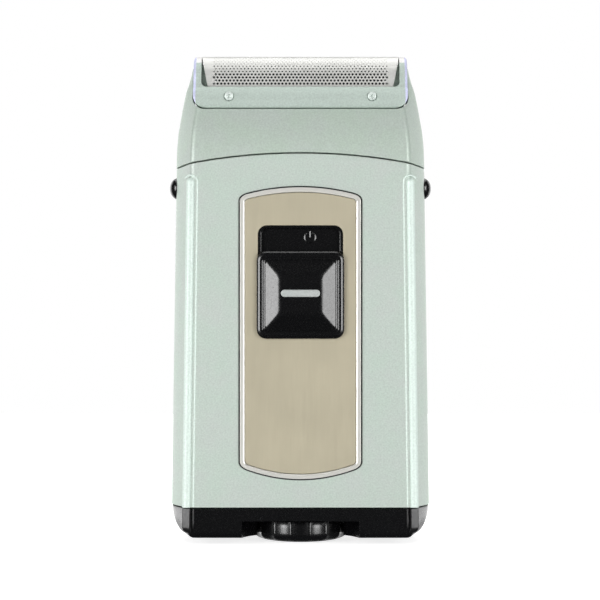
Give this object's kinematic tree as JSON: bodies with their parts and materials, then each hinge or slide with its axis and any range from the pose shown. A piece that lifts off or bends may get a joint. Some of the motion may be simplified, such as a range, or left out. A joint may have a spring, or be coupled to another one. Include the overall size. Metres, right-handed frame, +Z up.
{
  "type": "electric shaver",
  "caption": "Pocket foil shaver: two-shell body, lift-off foil head over an oscillating cutter, sliding switch, side release buttons and battery cap with a turning lock knob.",
  "frame": {"origin": "middle of the lock knob's flat underside, on which the shaver stands", "axes": "+Z up from the battery cap to the foil, the switch side faces -Y, +X to the right as seen from the switch side"},
  "size_m": [0.0608, 0.03, 0.1125],
  "materials": {
    "body_paint": "satin silver paint with a faint green tint and fine metallic flake",
    "head_paint": "satin silver paint, a little greener",
    "gold_plate": "satin champagne anodised",
    "chrome_trim": "polished",
    "black_gloss": "moulded, fine spark texture",
    "bar_silver": "satin silver paint",
    "foil_steel": "etched and polished foil",
    "bright_steel": "bright drawn or plated",
    "brass": "plain",
    "nylon": "moulded, natural",
    "chassis_grey": "moulded",
    "rubber": "moulded",
    "cell_wrap": "printed sleeve without lettering",
    "board": "laminate",
    "wire_red": "insulation",
    "wire_black": "insulation"
  },
  "bodies": {
    "body": {"front_shell": "body_paint", "rear_shell": "body_paint", "rear_screw_lower": "bright_steel", "rear_screw_upper": "bright_steel", "plate_bezel": "chrome_trim", "face_plate": "gold_plate", "switch_tray": "black_gloss", "switch_board": "board", "switch_contact_left": "brass", "switch_contact_right": "brass", "chassis": "chassis_grey", "top_deck": "chassis_grey", "battery_left": "cell_wrap", "battery_right": "cell_wrap", "battery_contact_positive": "bright_steel", "battery_contact_negative": "bright_steel", "battery_spring": "bright_steel", "motor_end_bell": "nylon", "motor_can": "bright_steel", "motor_bearing": "brass", "motor_terminal_left": "brass", "motor_terminal_right": "brass", "lead_positive": "wire_red", "lead_motor": "wire_red", "lead_negative": "wire_black"},
    "power_switch": {"power_slider": "black_gloss", "slider_bar": "bar_silver", "slider_carrier": "nylon", "switch_bridge_contact": "brass"},
    "release_left": {"release_button_left": "black_gloss", "release_spring_left": "bright_steel"},
    "release_right": {"release_button_right": "black_gloss", "release_spring_right": "bright_steel"},
    "head": {"head_shell": "head_paint", "foil_frame": "head_paint", "shaving_foil": "foil_steel", "foil_screw_left": "bright_steel", "foil_screw_right": "bright_steel"},
    "rotor": {"rotor_shaft": "bright_steel", "eccentric": "nylon"},
    "oscillator": {"drive_bridge": "nylon", "drive_stem": "bright_steel", "cutter_spring": "bright_steel"},
    "cutter": {"cutter_holder": "black_gloss", "cutter_blades": "bright_steel"},
    "cap": {"battery_cap": "black_gloss", "cap_gasket": "rubber", "cap_bridge_contact": "bright_steel", "cap_spring": "bright_steel"},
    "lock": {"lock_knob": "black_gloss", "lock_shaft": "bright_steel"}
  },
  "joints": [
    {"name": "power_slide", "type": "slide", "parent": "body", "child": "power_switch", "axis": [0, 0, 1], "range_m": [0, 0.0055]},
    {"name": "release_left_press", "type": "slide", "parent": "body", "child": "release_left", "axis": [1, 0, 0], "range_m": [0, 0.0012], "stiffness_N_per_m": 400, "springref_m": -0.0005},
    {"name": "release_right_press", "type": "slide", "parent": "body", "child": "release_right", "axis": [-1, 0, 0], "range_m": [0, 0.0012], "stiffness_N_per_m": 400, "springref_m": -0.0005},
    {"name": "head_lift", "type": "slide", "parent": "body", "child": "head", "axis": [0, 0, 1], "range_m": [0, 0.03]},
    {"name": "motor_spin", "type": "hinge", "parent": "body", "child": "rotor", "pos_m": [0, 0, 0.088], "axis": [0, 0, 1], "continuous": true},
    {"name": "cutter_drive", "type": "slide", "parent": "body", "child": "oscillator", "axis": [1, 0, 0], "range_m": [-0.0012, 0.0012], "stiffness_N_per_m": 200},
    {"name": "cutter_float", "type": "slide", "parent": "oscillator", "child": "cutter", "axis": [0, 0, 1], "range_m": [-0.0015, 0], "stiffness_N_per_m": 300, "springref_m": 0.003, "deforming": ["cutter_spring"]},
    {"name": "cap_pull", "type": "slide", "parent": "body", "child": "cap", "axis": [0, 0, -1], "range_m": [0, 0.03]},
    {"name": "knob_turn", "type": "hinge", "parent": "cap", "child": "lock", "pos_m": [0, 0, 0.0025], "axis": [0, 0, 1], "range_deg": [0, 90]}
  ]
}
